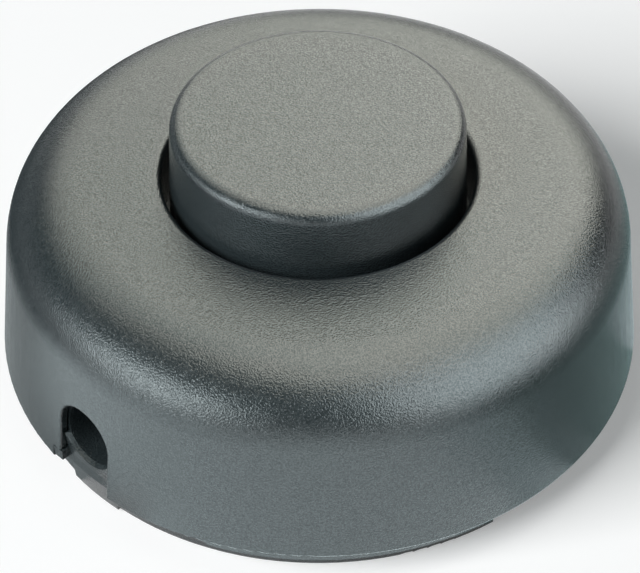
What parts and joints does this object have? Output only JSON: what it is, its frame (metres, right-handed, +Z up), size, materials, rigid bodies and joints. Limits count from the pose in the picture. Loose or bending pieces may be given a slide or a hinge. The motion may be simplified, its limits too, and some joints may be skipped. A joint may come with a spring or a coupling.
{
  "type": "foot-operated cord switch",
  "caption": "Round black cord switch with a large push button on top, a ratchet mechanism inside and an arched cord entry at each end.",
  "frame": {"origin": "on the floor, under the middle of the base plate", "axes": "+Z up along the button's travel, +X along the cord towards the load, +Y to the side of the live terminals"},
  "size_m": [0.0596, 0.06, 0.0275],
  "materials": {
    "black_housing_plastic": "fine spark-eroded grain, satin",
    "natural_nylon": "smooth moulded, satin",
    "grey_cover_plastic": "smooth moulded, satin",
    "contact_brass": "rolled strip",
    "silver_contact": "silver contact face",
    "zinc_steel": "zinc plated",
    "spring_steel": "drawn spring steel"
  },
  "bodies": {
    "base": {"housing": "black_housing_plastic", "base_plate": "black_housing_plastic", "mechanism_cover": "grey_cover_plastic", "cord_clamp_in": "grey_cover_plastic", "cord_clamp_out": "grey_cover_plastic", "line_contact": "contact_brass", "load_contact": "contact_brass", "neutral_link": "contact_brass", "line_terminal": "contact_brass", "load_terminal": "contact_brass", "neutral_terminal_in": "contact_brass", "neutral_terminal_out": "contact_brass", "line_rivet": "silver_contact", "load_rivet": "silver_contact", "cover_screws": "zinc_steel", "clamp_screws": "zinc_steel", "terminal_screws": "zinc_steel", "housing_screws": "zinc_steel", "rotor_pin": "zinc_steel", "return_spring": "spring_steel", "detent_spring": "spring_steel"},
    "button": {"push_button": "black_housing_plastic", "ratchet_plunger": "natural_nylon"},
    "rotor": {"ratchet_rotor": "natural_nylon", "contact_star": "contact_brass"}
  },
  "joints": [
    {"name": "button_press", "type": "slide", "parent": "base", "child": "button", "axis": [0, 0, -1], "range_m": [0, 0.004], "stiffness_N_per_m": 600, "springref_m": -0.004, "deforming": ["return_spring"]},
    {"name": "rotor_index", "type": "hinge", "parent": "base", "child": "rotor", "pos_m": [0, 0, 0.0062], "axis": [0, 0, 1], "range_deg": [0, 41]}
  ],
  "couplings": [
    {"joint": "rotor_index", "follows": "button_press", "rad_per_m": 174.53}
  ]
}
